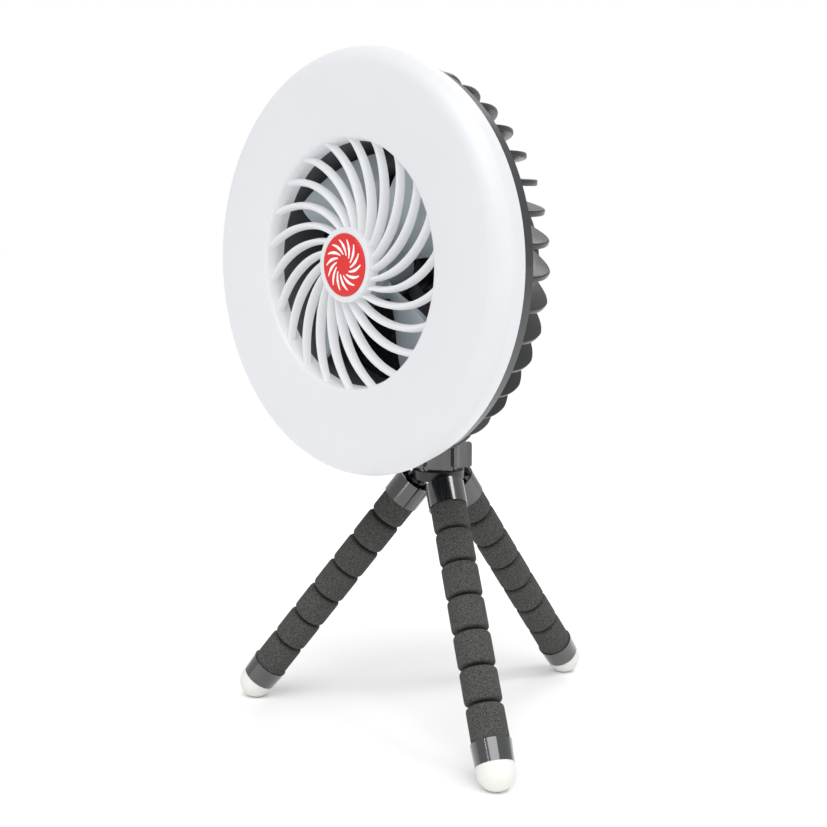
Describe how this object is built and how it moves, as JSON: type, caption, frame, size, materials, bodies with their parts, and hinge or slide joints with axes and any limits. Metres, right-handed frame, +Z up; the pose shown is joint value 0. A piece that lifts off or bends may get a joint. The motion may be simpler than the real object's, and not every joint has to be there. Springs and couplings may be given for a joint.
{
  "type": "camping fan with ring light and bendable tripod",
  "caption": "Portable table fan with a round ring-light face, spiral grille and finned rear housing, panning on a tripod of bendable foam-collared legs with dome feet.",
  "frame": {"origin": "on the ground, under the middle of the object's box", "axes": "+Z up, -Y the way the fan blows, +X to the right of someone who stands behind it"},
  "size_m": [0.1738, 0.1518, 0.2893],
  "materials": {
    "milky_plastic": "satin",
    "red_plastic": "gloss",
    "dark_plastic": "satin",
    "gloss_dark_plastic": "gloss",
    "smoke_plastic": "gloss",
    "foam": "matte, closed-cell foam",
    "white_rubber": "matte",
    "steel": "plain",
    "wire": "drawn",
    "brass": "plain",
    "cell": "wrapped metal can",
    "circuit_board": "solder mask",
    "lamp": "phosphor"
  },
  "bodies": {
    "tripod": {"tripod_hub": "dark_plastic", "tripod_stud": "steel"},
    "lock_nut": {"lock_nut": "gloss_dark_plastic"},
    "head": {"rear_housing": "dark_plastic", "front_diffuser": "milky_plastic", "badge": "red_plastic", "fan_duct": "dark_plastic", "motor": "steel", "light_board": "circuit_board", "lamps": "lamp", "rear_cover": "dark_plastic", "cover_screws": "steel", "control_board": "circuit_board", "charging_socket": "steel", "battery_cell": "cell", "threaded_insert": "brass"},
    "impeller": {"impeller": "smoke_plastic", "motor_shaft": "steel"},
    "fan_button": {"fan_button": "gloss_dark_plastic"},
    "light_button": {"light_button": "milky_plastic"},
    "left_leg_1": {"left_leg_collar_1": "foam", "left_leg_top_ferrule": "gloss_dark_plastic", "left_leg_core_wire": "wire"},
    "left_leg_2": {"left_leg_collar_2": "foam"},
    "left_leg_3": {"left_leg_collar_3": "foam"},
    "left_leg_4": {"left_leg_collar_4": "foam"},
    "left_leg_5": {"left_leg_collar_5": "foam"},
    "left_leg_6": {"left_leg_collar_6": "foam"},
    "left_leg_7": {"left_leg_collar_7": "foam", "left_leg_bottom_ferrule": "gloss_dark_plastic", "left_leg_foot": "white_rubber"},
    "right_leg_1": {"right_leg_collar_1": "foam", "right_leg_top_ferrule": "gloss_dark_plastic", "right_leg_core_wire": "wire"},
    "right_leg_2": {"right_leg_collar_2": "foam"},
    "right_leg_3": {"right_leg_collar_3": "foam"},
    "right_leg_4": {"right_leg_collar_4": "foam"},
    "right_leg_5": {"right_leg_collar_5": "foam"},
    "right_leg_6": {"right_leg_collar_6": "foam"},
    "right_leg_7": {"right_leg_collar_7": "foam", "right_leg_bottom_ferrule": "gloss_dark_plastic", "right_leg_foot": "white_rubber"},
    "rear_leg_1": {"rear_leg_collar_1": "foam", "rear_leg_top_ferrule": "gloss_dark_plastic", "rear_leg_core_wire": "wire"},
    "rear_leg_2": {"rear_leg_collar_2": "foam"},
    "rear_leg_3": {"rear_leg_collar_3": "foam"},
    "rear_leg_4": {"rear_leg_collar_4": "foam"},
    "rear_leg_5": {"rear_leg_collar_5": "foam"},
    "rear_leg_6": {"rear_leg_collar_6": "foam"},
    "rear_leg_7": {"rear_leg_collar_7": "foam", "rear_leg_bottom_ferrule": "gloss_dark_plastic", "rear_leg_foot": "white_rubber"}
  },
  "joints": [
    {"name": "head_pan", "type": "hinge", "parent": "tripod", "child": "head", "pos_m": [0, -0.0199, 0.20243], "axis": [0, 0, 1], "range_deg": [-180, 180]},
    {"name": "lock_nut_turn", "type": "hinge", "parent": "tripod", "child": "lock_nut", "pos_m": [0, -0.0199, 0.10668], "axis": [0, 0, 1], "range_deg": [-90, 90]},
    {"name": "impeller_spin", "type": "hinge", "parent": "head", "child": "impeller", "pos_m": [0, -0.0597, 0.20243], "axis": [0, 1, 0], "continuous": true},
    {"name": "fan_button_press", "type": "slide", "parent": "head", "child": "fan_button", "axis": [0, -1, 0], "range_m": [0, 0.001], "stiffness_N_per_m": 1000},
    {"name": "light_button_press", "type": "slide", "parent": "head", "child": "light_button", "axis": [0, -1, 0], "range_m": [0, 0.001], "stiffness_N_per_m": 1000},
    {"name": "left_leg_hip", "type": "hinge", "parent": "tripod", "child": "left_leg_1", "pos_m": [-0.0091, -0.02515, 0.10668], "axis": [-0.5, 0.866, 0], "range_deg": [-38, 14]},
    {"name": "left_leg_curl_1", "type": "hinge", "parent": "left_leg_1", "child": "left_leg_2", "pos_m": [-0.02125, -0.03216, 0.08873], "axis": [-0.5, 0.866, 0], "range_deg": [0, 10], "deforming": ["left_leg_core_wire"]},
    {"name": "left_leg_curl_2", "type": "hinge", "parent": "left_leg_2", "child": "left_leg_3", "pos_m": [-0.02939, -0.03687, 0.07669], "axis": [-0.5, 0.866, 0], "range_deg": [0, 10], "deforming": ["left_leg_core_wire"]},
    {"name": "left_leg_curl_3", "type": "hinge", "parent": "left_leg_3", "child": "left_leg_4", "pos_m": [-0.03754, -0.04157, 0.06465], "axis": [-0.5, 0.866, 0], "range_deg": [0, 10], "deforming": ["left_leg_core_wire"]},
    {"name": "left_leg_curl_4", "type": "hinge", "parent": "left_leg_4", "child": "left_leg_5", "pos_m": [-0.04569, -0.04627, 0.05261], "axis": [-0.5, 0.866, 0], "range_deg": [0, 10], "deforming": ["left_leg_core_wire"]},
    {"name": "left_leg_curl_5", "type": "hinge", "parent": "left_leg_5", "child": "left_leg_6", "pos_m": [-0.05383, -0.05098, 0.04056], "axis": [-0.5, 0.866, 0], "range_deg": [0, 10], "deforming": ["left_leg_core_wire"]},
    {"name": "left_leg_curl_6", "type": "hinge", "parent": "left_leg_6", "child": "left_leg_7", "pos_m": [-0.06198, -0.05568, 0.02852], "axis": [-0.5, 0.866, 0], "range_deg": [0, 10], "deforming": ["left_leg_core_wire"]},
    {"name": "right_leg_hip", "type": "hinge", "parent": "tripod", "child": "right_leg_1", "pos_m": [0.0091, -0.02515, 0.10668], "axis": [-0.5, -0.866, 0], "range_deg": [-38, 14]},
    {"name": "right_leg_curl_1", "type": "hinge", "parent": "right_leg_1", "child": "right_leg_2", "pos_m": [0.02125, -0.03216, 0.08873], "axis": [-0.5, -0.866, 0], "range_deg": [0, 10], "deforming": ["right_leg_core_wire"]},
    {"name": "right_leg_curl_2", "type": "hinge", "parent": "right_leg_2", "child": "right_leg_3", "pos_m": [0.02939, -0.03687, 0.07669], "axis": [-0.5, -0.866, 0], "range_deg": [0, 10], "deforming": ["right_leg_core_wire"]},
    {"name": "right_leg_curl_3", "type": "hinge", "parent": "right_leg_3", "child": "right_leg_4", "pos_m": [0.03754, -0.04157, 0.06465], "axis": [-0.5, -0.866, 0], "range_deg": [0, 10], "deforming": ["right_leg_core_wire"]},
    {"name": "right_leg_curl_4", "type": "hinge", "parent": "right_leg_4", "child": "right_leg_5", "pos_m": [0.04569, -0.04627, 0.05261], "axis": [-0.5, -0.866, 0], "range_deg": [0, 10], "deforming": ["right_leg_core_wire"]},
    {"name": "right_leg_curl_5", "type": "hinge", "parent": "right_leg_5", "child": "right_leg_6", "pos_m": [0.05383, -0.05098, 0.04056], "axis": [-0.5, -0.866, 0], "range_deg": [0, 10], "deforming": ["right_leg_core_wire"]},
    {"name": "right_leg_curl_6", "type": "hinge", "parent": "right_leg_6", "child": "right_leg_7", "pos_m": [0.06198, -0.05568, 0.02852], "axis": [-0.5, -0.866, 0], "range_deg": [0, 10], "deforming": ["right_leg_core_wire"]},
    {"name": "rear_leg_hip", "type": "hinge", "parent": "tripod", "child": "rear_leg_1", "pos_m": [0, -0.00939, 0.10668], "axis": [1, 0, 0], "range_deg": [-38, 14]},
    {"name": "rear_leg_curl_1", "type": "hinge", "parent": "rear_leg_1", "child": "rear_leg_2", "pos_m": [0, 0.00464, 0.08873], "axis": [1, 0, 0], "range_deg": [0, 10], "deforming": ["rear_leg_core_wire"]},
    {"name": "rear_leg_curl_2", "type": "hinge", "parent": "rear_leg_2", "child": "rear_leg_3", "pos_m": [0, 0.01404, 0.07669], "axis": [1, 0, 0], "range_deg": [0, 10], "deforming": ["rear_leg_core_wire"]},
    {"name": "rear_leg_curl_3", "type": "hinge", "parent": "rear_leg_3", "child": "rear_leg_4", "pos_m": [0, 0.02345, 0.06465], "axis": [1, 0, 0], "range_deg": [0, 10], "deforming": ["rear_leg_core_wire"]},
    {"name": "rear_leg_curl_4", "type": "hinge", "parent": "rear_leg_4", "child": "rear_leg_5", "pos_m": [0, 0.03286, 0.05261], "axis": [1, 0, 0], "range_deg": [0, 10], "deforming": ["rear_leg_core_wire"]},
    {"name": "rear_leg_curl_5", "type": "hinge", "parent": "rear_leg_5", "child": "rear_leg_6", "pos_m": [0, 0.04226, 0.04056], "axis": [1, 0, 0], "range_deg": [0, 10], "deforming": ["rear_leg_core_wire"]},
    {"name": "rear_leg_curl_6", "type": "hinge", "parent": "rear_leg_6", "child": "rear_leg_7", "pos_m": [0, 0.05167, 0.02852], "axis": [1, 0, 0], "range_deg": [0, 10], "deforming": ["rear_leg_core_wire"]}
  ]
}
